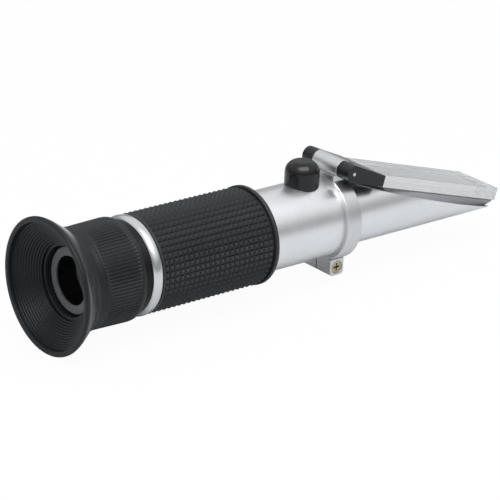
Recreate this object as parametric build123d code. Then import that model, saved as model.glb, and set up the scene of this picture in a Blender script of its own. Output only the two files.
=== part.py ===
from build123d import *
from math import atan, atan2, cos, hypot, pi, sin, sqrt
import os

# Handheld antifreeze refractometer. +X runs from the eye to the prism along the optical axis,
# +Z points to the daylight plate and +Y away from the clamp screw's head. The origin is the
# centre of the eyecup's rim. All sizes are in millimetres.

# Fits between the pieces
running_fit = 0.05
slip_fit = 0.05
touch_gap = 0.15
end_float = 0.05

# Main tube: the sizes below follow it with named walls and steps
tube_r = 14.0
tube_wall = 1.8
tube_bore_r = tube_r - tube_wall

# Eyecup
eyecup_rim_r = 22.9
eyecup_lip = 1.3
eyecup_length = 12.2
eyecup_wall = 2.1
eyecup_mouth_clear = 1.5
eyecup_seat_length = 4.0
eyecup_cuff = 2.8
eyecup_lip_depth = 1.6
eyecup_floor = 0.8

# Focus ring and its travel
focus_ring_length = 15.4
focus_ring_step = 3.4
focus_ring_r = tube_r + focus_ring_step
focus_neck_step = 2.4
focus_neck_r = focus_ring_r - focus_neck_step
focus_collar_length = 0.8
focus_end_band = 1.4
rib_count = 92
rib_depth = 0.35
focus_web_start = 13.0
focus_web = 3.0
focus_travel = 2.0
focus_clear = 0.4

# Eyepiece cell and lenses
sleeve_wall = 1.25
cell_r = tube_bore_r - sleeve_wall
cell_length = 26.0
spigot_step = 1.4
cell_spigot_r = cell_r - spigot_step
cell_wall = 2.0
lens_r = cell_r - cell_wall
lens_edge = 0.75
eye_opening_r = lens_r - lens_edge
bezel_step = 0.35
bezel_r = cell_r + bezel_step
eyecup_mouth_r = bezel_r + eyecup_mouth_clear
bezel_start = 10.0
bezel_lip = 0.6
lens_seat = 1.0
eye_lens_thick = 4.2
field_lens_thick = 3.6
lens_bulge = 1.1
lens_gap = 9.5
retainer_width = 2.0
retainer_wall = 1.95
retainer_opening_r = lens_r - retainer_wall
key_r = 0.9
key_station = 36.0
key_depth = 1.5

# Focus sleeve that the ring screws over
sleeve_thread_step = 1.2
sleeve_thread_r = tube_bore_r + sleeve_thread_step
sleeve_flange_step = 1.8
sleeve_flange_r = tube_r + sleeve_flange_step
sleeve_plug_length = 15.2

# End ring and grip
focus_gap = 3.2
end_ring_wall = 2.9
end_ring_r = tube_r + end_ring_wall
end_ring_width = 3.8
end_ring_chamfer = 0.6
grip_length = 47.7
grip_wall = 2.6
grip_r = tube_r + grip_wall
grip_rim_rise = 0.5
grip_rim_r = grip_r + grip_rim_rise
grip_rim_width = 1.5
grip_groove = 0.5

# Scale disc and stops inside the tube
reticle_station = 62.0
reticle_wall = 2.2
reticle_r = tube_bore_r - reticle_wall
reticle_thick = 1.5
reticle_cell_length = 5.0
scale_border = 1.4
scale_opening_r = reticle_r - scale_border
baffle_station = 78.0
baffle_thick = 1.2
baffle_opening_r = 7.0

# Clamp collar with the hinge bracket above and the pinch lugs below
collar_start = 113.6
collar_width = 6.0
collar_wall = 1.6
collar_r = tube_r + collar_wall
collar_chamfer = 0.5
bracket_half = 6.3
bracket_flare = 3.4
bracket_flare_rise = 2.2
barrel_r = 3.4
lug_half = 7.4
lug_drop = 6.0
lug_foot = tube_r + lug_drop
lug_corner = 1.4
lug_slit = 0.5
clamp_screw_r = 1.5
clamp_head_r = 2.25
clamp_head_height = 1.7
clamp_head_recess = 1.9
clamp_screw_below = 3.0
clamp_screw_drop = tube_r + clamp_screw_below
clamp_nut_flats = 4.6
clamp_nut_thick = 1.8
cross_slot = 0.6

# Nose tube and its slanted cut
nose_step = 1.9
nose_r = tube_r - nose_step
nose_wall = 1.1
nose_bore_r = nose_r - nose_wall
nose_overlap = 10.0
nose_end = 189.8
nose_end_wall = 1.2
nose_end_round = 1.6
nose_tip_height = 1.9
nose_cut_start = 1.7
nose_baffle_station = 124.0

# Prism and its bed: the prism's upper face is the sample stage
stage_rise = 1.35
stage_tip_rise = 3.25
prism_inset = 6.7
prism_end_margin = 3.8
prism_half = 0.6 * nose_bore_r
prism_base_clear = 3.4
prism_base = nose_bore_r - prism_base_clear
bed_margin = 2.0
bed_below_stage = 0.3
light_path_r = 5.6

# Hinge yoke, its pin and the daylight plate
pin_ahead = 1.4
pin_rise = 2.5
pin_r = 0.6
ear_r = 3.0
ear_side_gap = 0.3
yoke_half = 12.0
yoke_reach = 13.2
yoke_front_low = 0.5
bridge_thick = 1.6
bridge_clear = 4.4
plate_half = 10.0
plate_thick = 4.5
plate_end_margin = 1.6
plate_rim = 1.6
plate_end_band = 4.4
plate_pocket = 0.4
tongue_half = 6.0
tongue_length = 6.5
tongue_low = 0.5
plate_screw_r = 0.7
plate_screw_side = 8.6
plate_screw_reach = 1.8
plate_screw_root = 4.0

# Calibration screw, its boss and its push-on cap
screw_station = 105.0
boss_r = 4.2
boss_height = 4.0
boss_shank_r = 3.0
boss_shank_inside = 1.6
calibration_head_r = 2.0
calibration_head_height = 2.4
calibration_head_sink = 1.2
calibration_shank_r = 1.5
driver_slot = 0.6
clip_r = 2.5
clip_thick = 0.5
cap_r = 6.0
cap_rise = 8.1
cap_top = tube_r + cap_rise
cap_dome = 4.1
cap_roof = 2.4

# Lens carriage that the calibration screw moves
guide_half = 4.5
guide_wall = 1.0
guide_length = 12.0
guide_drop = 6.4
guide_foot = tube_bore_r - guide_drop
block_height = 1.5
block_drop = 5.5
block_rise = tube_bore_r - block_drop
block_length = 8.0
strip_thick = 0.4
strip_length = 17.0
strip_half = 2.4
rivet_r = 0.6
rivet_spacing = 5.6
strip_clear = 0.6
objective_cell_r = block_rise - strip_clear
objective_cell_length = 5.0
objective_wall = 1.3
objective_r = objective_cell_r - objective_wall
objective_thick = 2.6
objective_bulge = 0.5
objective_edge = 0.6
objective_opening_r = objective_r - objective_edge
objective_retainer = 1.0
spring_wire_r = 0.15
spring_r = 1.95
spring_turns = 2

# Stations along the axis that follow from the sizes above
focus_ring_end = eyecup_length + focus_ring_length
tube_start = focus_ring_end + focus_gap
grip_start = tube_start + end_ring_width
grip_end = grip_start + grip_length
collar_end = collar_start + collar_width
web_end = focus_web_start + focus_web
cell_shoulder = web_end + end_float
cell_end = cell_shoulder + cell_length
flange_start = focus_ring_end - focus_travel - focus_clear
skirt_shoulder = flange_start - focus_travel - focus_clear
sleeve_start = web_end + focus_travel + 2 * focus_clear + end_float
ring_bore_end = sleeve_start - focus_travel - focus_clear
sleeve_bore_r = cell_r + running_fit
pin_x = collar_start + collar_width / 2 + pin_ahead
pin_z = collar_r + pin_rise
nose_start = collar_end - nose_overlap
lug_middle = collar_start + collar_width / 2
plate_start = pin_x + yoke_reach
cut_fall = (2 * nose_r - nose_tip_height) / (nose_end - collar_end - nose_cut_start)
stage_fall = cut_fall + (stage_rise - stage_tip_rise) / (nose_end - plate_start)
plate_slope = atan(stage_fall)
plate_length = (nose_end - plate_end_margin - plate_start) / cos(plate_slope)
prism_start = plate_start + prism_inset
prism_end = nose_end - prism_end_margin


def cut_z(x):
    """Height of the nose tube's slanted cut over the axis at a station."""
    return nose_tip_height - nose_r + (nose_end - x) * cut_fall


def stage_z(x):
    """Height of the prism's sample face, carried on as a plane, at a station."""
    rear = cut_z(plate_start) + stage_rise
    return rear - (x - plate_start) * stage_fall


def rod(start, end, radius):
    """Solid rod along the optical axis."""
    return extrude(Plane.YZ.offset(start) * Circle(radius), end - start)


def ring(start, end, outer, inner):
    """Plain ring round the optical axis."""
    return extrude(Plane.YZ.offset(start) * (Circle(outer) - Circle(inner)), end - start)


def turned(points):
    """Solid turned round the optical axis from station and radius pairs."""
    outline = Polyline(*points, close=True)
    return revolve(make_face(outline.edges()), Axis.X)


def post(x, low, high, radius, y=0.0):
    """Upright round post."""
    return Pos(x, y, low) * Cylinder(radius, high - low, align=(Align.CENTER, Align.CENTER, Align.MIN))


def cross_rod(x, z, low, high, radius):
    """Round bar that runs across the instrument, along Y."""
    bar = Cylinder(radius, high - low, align=(Align.CENTER, Align.CENTER, Align.MIN))
    return Pos(x, low, z) * Rot(-90, 0, 0) * bar


def block(x0, x1, y0, y1, z0, z1):
    """Box between two corners."""
    return Pos(x0, y0, z0) * Box(x1 - x0, y1 - y0, z1 - z0, align=(Align.MIN, Align.MIN, Align.MIN))


def side_plate(points, low, high):
    """Outline of station and height pairs, extruded between two Y values."""
    plane = Plane((0, high, 0), x_dir=(1, 0, 0), z_dir=(0, -1, 0))
    outline = Polyline(*points, close=True)
    return extrude(plane * make_face(outline.edges()), high - low)


def above_line(x0, z0, x1, z1, height):
    """Block over a slanted line in side view, used to cut a slope."""
    reach = 3 * collar_r
    corners = [(x0, z0), (x1, z1), (x1, z1 + height), (x0, z0 + height)]
    return side_plate(corners, -reach, reach)


def lens(start, radius, thick, bulge):
    """Round lens with two domed faces whose crowns are the lens's full thickness apart."""
    end = start + thick
    edge = [
        ThreePointArc((start, 0), cap_point(start, bulge, radius, 1), (start + bulge, radius)),
        Line((start + bulge, radius), (end - bulge, radius)),
        ThreePointArc((end - bulge, radius), cap_point(end, bulge, radius, -1), (end, 0)),
        Line((end, 0), (start, 0)),
    ]
    return revolve(make_face(edge), Axis.X)


def cap_point(crown, bulge, radius, way):
    """A point half way up a domed face, on the sphere through its crown and its edge."""
    sphere = (radius * radius + bulge * bulge) / (2 * bulge)
    half = radius / 2
    return (crown + way * (sphere - sqrt(sphere * sphere - half * half)), half)


def save(name, shape):
    """Writes one sub-part under its node name."""
    export_step(shape, f"parts/{name}.step")


def make_eyecup():
    """Rubber eyecup: a flared cup that grips the neck of the focus ring."""
    seat_start = eyecup_length - eyecup_seat_length
    seat_r = focus_neck_r
    shoulder_r = focus_ring_r - rib_depth
    inner_rim_r = eyecup_rim_r - eyecup_wall
    waist = eyecup_length - eyecup_cuff
    outer = [(0, eyecup_rim_r - eyecup_lip), (eyecup_lip, eyecup_rim_r), (2 * eyecup_lip, eyecup_rim_r - 0.5)]
    tail = [(waist, shoulder_r), (eyecup_length, shoulder_r), (eyecup_length, seat_r)]
    inner = [(seat_start, seat_r), (seat_start, eyecup_mouth_r), (seat_start - eyecup_floor, eyecup_mouth_r)]
    return turned(outer + tail + inner + [(eyecup_lip_depth, inner_rim_r), (0, inner_rim_r)])


def make_focus_ring():
    """Ribbed ring with a web that the cell is held by and a skirt over the sleeve's flange."""
    neck_start = eyecup_length - eyecup_seat_length
    rib_start = eyecup_length + focus_collar_length
    rib_end = focus_ring_end - focus_end_band
    collar_outer = focus_ring_r - rib_depth / 2
    body = turned(
        [
            (neck_start, focus_neck_r),
            (eyecup_length, focus_neck_r),
            (eyecup_length, collar_outer),
            (rib_start, collar_outer),
            (rib_start, focus_ring_r - rib_depth),
            (rib_end, focus_ring_r - rib_depth),
            (rib_end, focus_ring_r),
            (focus_ring_end - 0.6, focus_ring_r),
            (focus_ring_end, focus_ring_r - 0.6),
            (focus_ring_end, sleeve_flange_r + running_fit * 2),
            (skirt_shoulder, sleeve_flange_r + running_fit * 2),
            (skirt_shoulder, sleeve_thread_r + running_fit),
            (ring_bore_end, sleeve_thread_r + running_fit),
            (ring_bore_end, cell_r + running_fit * 2),
            (web_end, cell_r + running_fit * 2),
            (web_end, cell_spigot_r + running_fit),
            (focus_web_start, cell_spigot_r + running_fit),
            (focus_web_start, bezel_r + 0.4),
            (neck_start, bezel_r + 0.4),
        ]
    )
    corners = []
    for index in range(rib_count):
        for share, radius in ((-0.22, focus_ring_r), (0.22, focus_ring_r)):
            angle = 2 * pi * (index + share) / rib_count
            corners.append((radius * cos(angle), radius * sin(angle)))
        valley = 2 * pi * (index + 0.5) / rib_count
        corners.append(((focus_ring_r - rib_depth) * cos(valley), (focus_ring_r - rib_depth) * sin(valley)))
    toothed = make_face(Polyline(*corners, close=True).edges())
    core = Circle(focus_ring_r - 2 * rib_depth)
    ribs = extrude(Plane.YZ.offset(rib_start) * (toothed - core), rib_end - rib_start)
    return body + ribs


def make_focus_sleeve():
    """Fixed sleeve: a thread for the focus ring, the black flange and a plug in the main tube."""
    plug_end = tube_start + sleeve_plug_length
    body = turned(
        [
            (sleeve_start, sleeve_thread_r),
            (flange_start, sleeve_thread_r),
            (flange_start, sleeve_flange_r),
            (tube_start, sleeve_flange_r),
            (tube_start, tube_bore_r - slip_fit),
            (plug_end, tube_bore_r - slip_fit),
            (plug_end, sleeve_bore_r),
            (sleeve_start, sleeve_bore_r),
        ]
    )
    half = focus_travel + key_r + 0.6
    slot_half = key_r + running_fit
    slot = block(key_station - half, key_station + half, -slot_half, slot_half, 0, tube_bore_r + 1)
    return body - slot


def make_lens_cell():
    """Sliding eyepiece cell: a spigot through the focus ring's web and a bore for the lenses."""
    spigot_start = bezel_start + bezel_lip
    seat = cell_shoulder + lens_seat
    body = turned(
        [
            (spigot_start, cell_spigot_r),
            (cell_shoulder, cell_spigot_r),
            (cell_shoulder, cell_r),
            (cell_end, cell_r),
            (cell_end, lens_r + slip_fit),
            (seat, lens_r + slip_fit),
            (seat, eye_opening_r),
            (spigot_start, eye_opening_r),
        ]
    )
    return body - post(key_station, cell_r - key_depth, cell_r + 1, key_r)


def make_bezel():
    """Front ring of the eyepiece, screwed on the cell's spigot."""
    return turned(
        [
            (bezel_start, eye_opening_r),
            (bezel_start, bezel_r - 0.4),
            (bezel_start + 0.4, bezel_r),
            (focus_web_start - end_float, bezel_r),
            (focus_web_start - end_float, cell_spigot_r),
            (bezel_start + bezel_lip, cell_spigot_r),
            (bezel_start + bezel_lip, eye_opening_r),
        ]
    )


def make_eyepiece_optics():
    """The two lenses, the spacer between them and the retainer behind, in order."""
    seat = cell_shoulder + lens_seat
    eye_lens = lens(seat, lens_r, eye_lens_thick, lens_bulge)
    spacer_start = seat + eye_lens_thick - lens_bulge
    spacer_end = spacer_start + lens_gap
    spacer = ring(spacer_start, spacer_end, lens_r, retainer_opening_r + 1.2)
    spacer -= eye_lens
    field_start = spacer_end - lens_bulge
    field_lens = lens(field_start, lens_r, field_lens_thick, lens_bulge)
    spacer -= field_lens
    retainer_start = field_start + field_lens_thick - lens_bulge
    retainer = ring(retainer_start, retainer_start + retainer_width, lens_r, retainer_opening_r)
    retainer -= field_lens
    return eye_lens, spacer, field_lens, retainer


def make_end_ring():
    """Bright ring that finishes the tube's eye end."""
    return turned(
        [
            (tube_start, tube_r),
            (tube_start, end_ring_r - end_ring_chamfer),
            (tube_start + end_ring_chamfer, end_ring_r),
            (grip_start - end_ring_chamfer / 2, end_ring_r),
            (grip_start, end_ring_r - end_ring_chamfer / 2),
            (grip_start, tube_r),
        ]
    )


def make_grip():
    """Rubber grip sleeve with a plain rim and a thin groove at its far end."""
    groove_end = grip_end - grip_rim_width
    return turned(
        [
            (grip_start, tube_r),
            (grip_start, grip_r),
            (groove_end - grip_groove, grip_r),
            (groove_end - grip_groove, grip_r - grip_groove),
            (groove_end, grip_r - grip_groove),
            (groove_end, grip_rim_r),
            (grip_end - 0.4, grip_rim_r),
            (grip_end, grip_rim_r - 0.4),
            (grip_end, tube_r),
        ]
    )


def make_main_tube():
    """Main tube with the hole that the calibration boss is screwed into."""
    body = ring(tube_start, collar_end, tube_r, tube_bore_r)
    return body - post(screw_station, 0, tube_r + 1, boss_shank_r)


def make_reticle_group():
    """Cell, scale disc and retainer, in order."""
    outer = tube_bore_r - slip_fit
    cell_start = reticle_station - reticle_cell_length / 2
    cell_stop = reticle_station + reticle_cell_length / 2
    cell = ring(cell_start, cell_stop, outer, scale_opening_r)
    cell -= rod(reticle_station, cell_stop, reticle_r + slip_fit)
    disc = rod(reticle_station, reticle_station + reticle_thick, reticle_r)
    hold = ring(reticle_station + reticle_thick, cell_stop, reticle_r, scale_opening_r)
    return cell, disc, hold


def make_collar():
    """Split collar round the tube's end, with the hinge barrel on top and two pinch lugs below."""
    body = ring(collar_start, collar_end, collar_r, tube_r)
    rear_rims = body.faces().sort_by(Axis.X)[0].edges().sort_by(SortBy.RADIUS)
    body = chamfer(rear_rims[-1], collar_chamfer)
    foot_y = bracket_half + bracket_flare
    foot_z = sqrt(collar_r * collar_r - foot_y * foot_y)
    root_z = sqrt(tube_r * tube_r - bracket_half * bracket_half)
    flare_top = foot_z + bracket_flare_rise
    web_outline = [
        Line((-foot_y, foot_z), (-bracket_half, root_z)),
        Line((-bracket_half, root_z), (bracket_half, root_z)),
        Line((bracket_half, root_z), (foot_y, foot_z)),
        TangentArc((foot_y, foot_z), (bracket_half, flare_top), tangent=(-1, 0.35)),
        Line((bracket_half, flare_top), (bracket_half, pin_z)),
        Line((bracket_half, pin_z), (-bracket_half, pin_z)),
        Line((-bracket_half, pin_z), (-bracket_half, flare_top)),
        TangentArc((-foot_y, foot_z), (-bracket_half, flare_top), tangent=(1, 0.35)),
    ]
    web = extrude(Plane.YZ.offset(collar_start) * make_face(web_outline), collar_width)
    barrel = cross_rod(pin_x, pin_z, -bracket_half, bracket_half, barrel_r)
    swing = cross_rod(pin_x, pin_z, -yoke_half, yoke_half, barrel_r)
    over = block(collar_start - 1, pin_x, -yoke_half, yoke_half, pin_z - barrel_r / 2, pin_z + barrel_r)
    web -= over - swing
    lugs = block(collar_start, collar_end, -lug_half, lug_half, -lug_foot, -tube_r)
    lugs = fillet(lugs.edges().filter_by(Axis.Y).sort_by(Axis.Z)[:2], lug_corner)
    body = body + web + barrel + lugs
    body -= rod(collar_start - 1, collar_end + 1, tube_r)
    body -= block(collar_start - 1, collar_end + 1, -lug_slit / 2, lug_slit / 2, -lug_foot - 1, 0)
    body -= cross_rod(pin_x, pin_z, -yoke_half, yoke_half, pin_r + running_fit)
    body -= cross_rod(lug_middle, -clamp_screw_drop, -yoke_half, yoke_half, clamp_screw_r)
    head_floor = clamp_head_recess - lug_half
    body -= cross_rod(lug_middle, -clamp_screw_drop, -yoke_half, head_floor, clamp_head_r + 0.1)
    return body - nut_pocket()


def nut_pocket():
    """Hexagon bar that cuts the nut's seat and, thinner, makes the nut."""
    plane = Plane((lug_middle, lug_half + 1, -clamp_screw_drop), x_dir=(1, 0, 0), z_dir=(0, -1, 0))
    hexagon = RegularPolygon(clamp_nut_flats / 2, 6, major_radius=False)
    return extrude(plane * hexagon, clamp_nut_thick + 1)


def make_clamp_fasteners():
    """The cross-recessed pinch screw and its nut, in order."""
    head_floor = clamp_head_recess - lug_half
    head_top = head_floor - clamp_head_height
    screw = cross_rod(lug_middle, -clamp_screw_drop, head_floor, lug_half - 0.2, clamp_screw_r)
    head = cross_rod(lug_middle, -clamp_screw_drop, head_top, head_floor, clamp_head_r)
    arm = clamp_head_r * 0.62
    recess_floor = head_top + clamp_head_height * 0.6
    for along_x, along_z in ((arm, cross_slot / 2), (cross_slot / 2, arm)):
        head -= block(
            lug_middle - along_x,
            lug_middle + along_x,
            head_top - 1,
            recess_floor,
            -clamp_screw_drop - along_z,
            -clamp_screw_drop + along_z,
        )
    nut = nut_pocket() & block(collar_start, collar_end, 0, lug_half, -lug_foot, 0)
    nut -= cross_rod(lug_middle, -clamp_screw_drop, 0, lug_half + 1, clamp_screw_r)
    return screw + head, nut


def make_nose_tube():
    """Nose tube, bored from behind and cut on a slope so that the prism lies open."""
    body = rod(nose_start, nose_end, nose_r)
    body = fillet(body.faces().sort_by(Axis.X)[-1].edges(), nose_end_round)
    body -= rod(nose_start - 1, nose_end - nose_end_wall, nose_bore_r)
    top_x = collar_end + nose_cut_start
    return body - above_line(top_x - 1, cut_z(top_x - 1), nose_end + 1, cut_z(nose_end + 1), 3 * nose_r)


def prism_shape(spare):
    """The prism's body, grown by a little for its pocket."""
    start = prism_start - spare
    end = prism_end + spare
    low = -prism_base - spare
    high = spare * 20
    corners = [(start, low), (end, low), (end, stage_z(end) + high), (start, stage_z(start) + high)]
    return side_plate(corners, -prism_half - spare, prism_half + spare)


def make_prism_bed():
    """Resin bed that fills the nose's trough round the prism, with a hole for the light."""
    bed_start = prism_start - bed_margin
    bed_end = nose_end - nose_end_wall - slip_fit
    body = rod(bed_start, bed_end, nose_bore_r - slip_fit)
    rear_z = stage_z(bed_start - 1) - bed_below_stage
    front_z = stage_z(bed_end + 1) - bed_below_stage
    body -= above_line(bed_start - 1, rear_z, bed_end + 1, front_z, 3 * nose_r)
    body -= prism_shape(slip_fit)
    return body - rod(bed_start - 1, prism_start + 1, light_path_r)


def lid_plane():
    """Plane of the daylight plate's underside: X down the slope, Z out of the stage."""
    z = stage_z(plate_start) + touch_gap / cos(plate_slope)
    return Plane(
        (plate_start, 0, z),
        x_dir=(cos(plate_slope), 0, -sin(plate_slope)),
        z_dir=(sin(plate_slope), 0, cos(plate_slope)),
    )


def lid_block(x0, x1, y0, y1, z0, z1):
    """Box between two corners in the daylight plate's own frame."""
    return lid_plane() * block(x0, x1, y0, y1, z0, z1)


def plate_screw_bores():
    """The two thin screws that hold the plate to the ears, lying along the plate."""
    plane = lid_plane()
    middle = plate_thick * 0.55
    bars = []
    for side in (-plate_screw_side, plate_screw_side):
        across = Plane(plane.from_local_coords((-plate_screw_root, side, middle)), z_dir=plane.x_dir)
        bars.append(extrude(across * Circle(plate_screw_r), plate_screw_root + plate_screw_reach))
    return bars


def make_daylight_plate():
    """Clear plate with a shallow window on top, a band at its end and a tongue under the bridge."""
    body = lid_block(0, plate_length, -plate_half, plate_half, 0, plate_thick)
    window_half = plate_half - plate_rim
    body -= lid_block(
        plate_rim,
        plate_length - plate_end_band,
        -window_half,
        window_half,
        plate_thick - plate_pocket,
        plate_thick + 1,
    )
    tongue_top = plate_thick - bridge_thick - touch_gap
    body += lid_block(-tongue_length, plate_rim, -tongue_half, tongue_half, tongue_low, tongue_top)
    for bar in plate_screw_bores():
        body -= bar
    return body


def make_yoke():
    """Hinge yoke: two ears on the pin and a thin bridge over the plate's tongue."""
    plane = lid_plane()
    front_top = plane.from_local_coords((0, 0, plate_thick))
    front_low = plane.from_local_coords((0, 0, yoke_front_low))
    slope = atan2(front_top.Z - ear_r - pin_z, front_top.X - pin_x)
    up = (-sin(slope) * ear_r, cos(slope) * ear_r)
    back_top = (pin_x + up[0], pin_z + up[1])
    back_low = (pin_x - up[0], pin_z - up[1])
    outline = [back_top, (front_top.X, front_top.Z), (front_low.X, front_low.Z), back_low]
    length = hypot(front_top.X - back_top[0], front_top.Z - back_top[1])
    along = ((front_top.X - back_top[0]) / length, (front_top.Z - back_top[1]) / length)
    bridge_back = (back_top[0] + along[0] * bridge_clear, back_top[1] + along[1] * bridge_clear)
    under = plane.from_local_coords((0, 0, plate_thick - bridge_thick))
    bridge_low = (bridge_back[0] + along[1] * bridge_thick, bridge_back[1] - along[0] * bridge_thick)
    bridge_outline = [bridge_back, (front_top.X, front_top.Z), (under.X, under.Z), bridge_low]
    inner = bracket_half + ear_side_gap
    body = side_plate(bridge_outline, -yoke_half, yoke_half)
    for low, high in ((-yoke_half, -inner), (inner, yoke_half)):
        body += side_plate(outline, low, high)
        body += cross_rod(pin_x, pin_z, low, high, ear_r)
    body -= cross_rod(pin_x, pin_z, -yoke_half - 1, yoke_half + 1, pin_r)
    for bar in plate_screw_bores():
        body -= bar
    return body


def make_boss():
    """Threaded boss in the tube's wall that carries the calibration screw."""
    top = tube_r + boss_height
    floor = tube_bore_r - boss_shank_inside
    body = post(screw_station, tube_r - 2, top, boss_r) - rod(collar_start - 30, collar_start, tube_r)
    body += post(screw_station, floor, tube_r, boss_shank_r)
    head_seat = top - calibration_head_sink - calibration_head_height - end_float
    body -= post(screw_station, head_seat, top + 1, calibration_head_r + running_fit)
    return body - post(screw_station, floor - 1, top, calibration_shank_r + running_fit)


def make_calibration_screw():
    """Slotted screw that turns in the boss and is held in it by the clip."""
    head_top = tube_r + boss_height - calibration_head_sink
    head_low = head_top - calibration_head_height
    tip = block_rise - 0.2
    body = post(screw_station, head_low, head_top, calibration_head_r)
    body += post(screw_station, tip, head_low, calibration_shank_r)
    slot_half = driver_slot / 2
    return body - block(
        screw_station - cap_r, screw_station + cap_r, -slot_half, slot_half, head_top - 1.0, head_top + 1
    )


def make_screw_clip():
    """Clip pressed on the screw just under the boss."""
    high = tube_bore_r - boss_shank_inside - end_float
    clip = post(screw_station, high - clip_thick, high, clip_r)
    return clip - post(screw_station, high - 1, high + 1, calibration_shank_r)


def make_cap():
    """Domed rubber cap, hollow over the boss, whose foot follows the tube."""
    body = post(screw_station, tube_r / 2, cap_top, cap_r)
    body = fillet(body.faces().sort_by(Axis.Z)[-1].edges(), cap_dome)
    body -= rod(screw_station - 2 * cap_r, screw_station + 2 * cap_r, tube_r + touch_gap)
    return body - post(screw_station, 0, cap_top - cap_roof, boss_r + running_fit)


def make_guide():
    """Channel under the tube's wall, held by the boss, that keeps the lens carriage square."""
    start = screw_station - guide_length / 2
    end = screw_station + guide_length / 2 - 2.0
    roof = tube_bore_r - boss_shank_inside
    inner = guide_half - guide_wall
    body = block(start, end, -guide_half, guide_half, guide_foot, tube_bore_r)
    body &= rod(start - 1, end + 1, tube_bore_r - slip_fit)
    body -= block(start - 1, end + 1, -inner, inner, 0, roof)
    return body - post(screw_station, roof - 1, tube_r, boss_shank_r)


def make_carriage():
    """Nut block, strip, rivets, objective cell, lens and retainer, in order."""
    inner = guide_half - guide_wall - running_fit
    back = screw_station - block_length / 2
    nut_block = block(back, back + block_length, -inner, inner, block_rise, block_rise + block_height)
    nut_block -= post(screw_station, 0, tube_r, calibration_shank_r + running_fit)
    strip_top = block_rise
    strip_low = block_rise - strip_thick
    strip = block(back, back + strip_length, -strip_half, strip_half, strip_low, strip_top)
    strip -= post(screw_station, 0, tube_r, calibration_shank_r + 2 * running_fit)
    rivets = []
    for x in (screw_station - rivet_spacing / 2, screw_station + rivet_spacing / 2):
        rivets.append(post(x, strip_low - 0.3, block_rise + 1.2, rivet_r))
    for rivet in rivets:
        nut_block -= rivet
        strip -= rivet
    cell_stop = back + strip_length
    cell_start = cell_stop - objective_cell_length
    seat = cell_start + 1.2
    cell = ring(cell_start, cell_stop, objective_cell_r + 1.0, objective_opening_r)
    cell -= block(cell_start - 1, cell_stop + 1, -tube_r, tube_r, strip_low, tube_r)
    cell -= rod(seat, cell_stop + 1, objective_r + slip_fit)
    glass = lens(seat, objective_r, objective_thick, objective_bulge)
    hold_start = seat + objective_thick - objective_bulge
    hold = ring(hold_start, hold_start + objective_retainer, objective_r, objective_opening_r)
    hold -= glass
    return nut_block, strip, Compound(rivets), cell, glass, hold


def make_carriage_spring():
    """Small open coil round the screw that takes up the carriage's backlash."""
    low = block_rise + block_height + spring_wire_r + 0.02
    high = tube_bore_r - boss_shank_inside - end_float - clip_thick - spring_wire_r - 0.02
    height = high - low
    path = Pos(screw_station, 0, low) * Helix(height / spring_turns, height, spring_r)
    print("spring gap between turns", round(height / spring_turns - 2 * spring_wire_r, 3))
    section = Plane(path @ 0, z_dir=path % 0) * Circle(spring_wire_r)
    return sweep(section, path=path, is_frenet=True)


os.makedirs("parts", exist_ok=True)

save("eyecup", make_eyecup())
save("focus_ring", make_focus_ring())
save("focus_sleeve", make_focus_sleeve())
save("lens_cell", make_lens_cell())
save("eyepiece_bezel", make_bezel())
optics_names = ("eye_lens", "lens_spacer", "field_lens", "lens_retainer")
for part_name, shape in zip(optics_names, make_eyepiece_optics()):
    save(part_name, shape)
save("guide_key", post(key_station, cell_r - key_depth, tube_bore_r - 0.2, key_r))
save("end_ring", make_end_ring())
save("grip_sleeve", make_grip())
save("main_tube", make_main_tube())
for part_name, shape in zip(("reticle_cell", "reticle_disc", "reticle_retainer"), make_reticle_group()):
    save(part_name, shape)
baffle_end = baffle_station + baffle_thick
save("tube_baffle", ring(baffle_station, baffle_end, tube_bore_r - slip_fit, baffle_opening_r))
save("hinge_collar", make_collar())
for part_name, shape in zip(("clamp_screw", "clamp_nut"), make_clamp_fasteners()):
    save(part_name, shape)
save("nose_tube", make_nose_tube())
nose_baffle_end = nose_baffle_station + baffle_thick
save("nose_baffle", ring(nose_baffle_station, nose_baffle_end, nose_bore_r - slip_fit, light_path_r))
save("prism", prism_shape(0))
save("prism_bed", make_prism_bed())
save("daylight_plate", make_daylight_plate())
save("plate_screws", Compound(plate_screw_bores()))
save("hinge_yoke", make_yoke())
save("hinge_pin", cross_rod(pin_x, pin_z, -yoke_half, yoke_half, pin_r))
save("calibration_boss", make_boss())
save("calibration_screw", make_calibration_screw())
save("screw_clip", make_screw_clip())
save("calibration_cap", make_cap())
save("carriage_guide", make_guide())
carriage_names = (
    "carriage_block",
    "bimetal_strip",
    "strip_rivets",
    "objective_cell",
    "objective_lens",
    "objective_retainer",
)
for part_name, shape in zip(carriage_names, make_carriage()):
    save(part_name, shape)
save("carriage_spring", make_carriage_spring())
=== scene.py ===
"""Looks of a handheld antifreeze refractometer, dressed round its packed construction.

+X runs along the optical axis from the eye to the prism, +Z towards the clear plate. Profiles are
written in millimetres as station and radius, and become metres when they are turned into meshes.
"""

import logging
import math
from dataclasses import dataclass
from enum import Enum
from functools import cache
from typing import Any, Callable, Optional, Sequence, Union

import bmesh
import bpy
import numpy as np
from mathutils import Matrix, Vector


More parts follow.
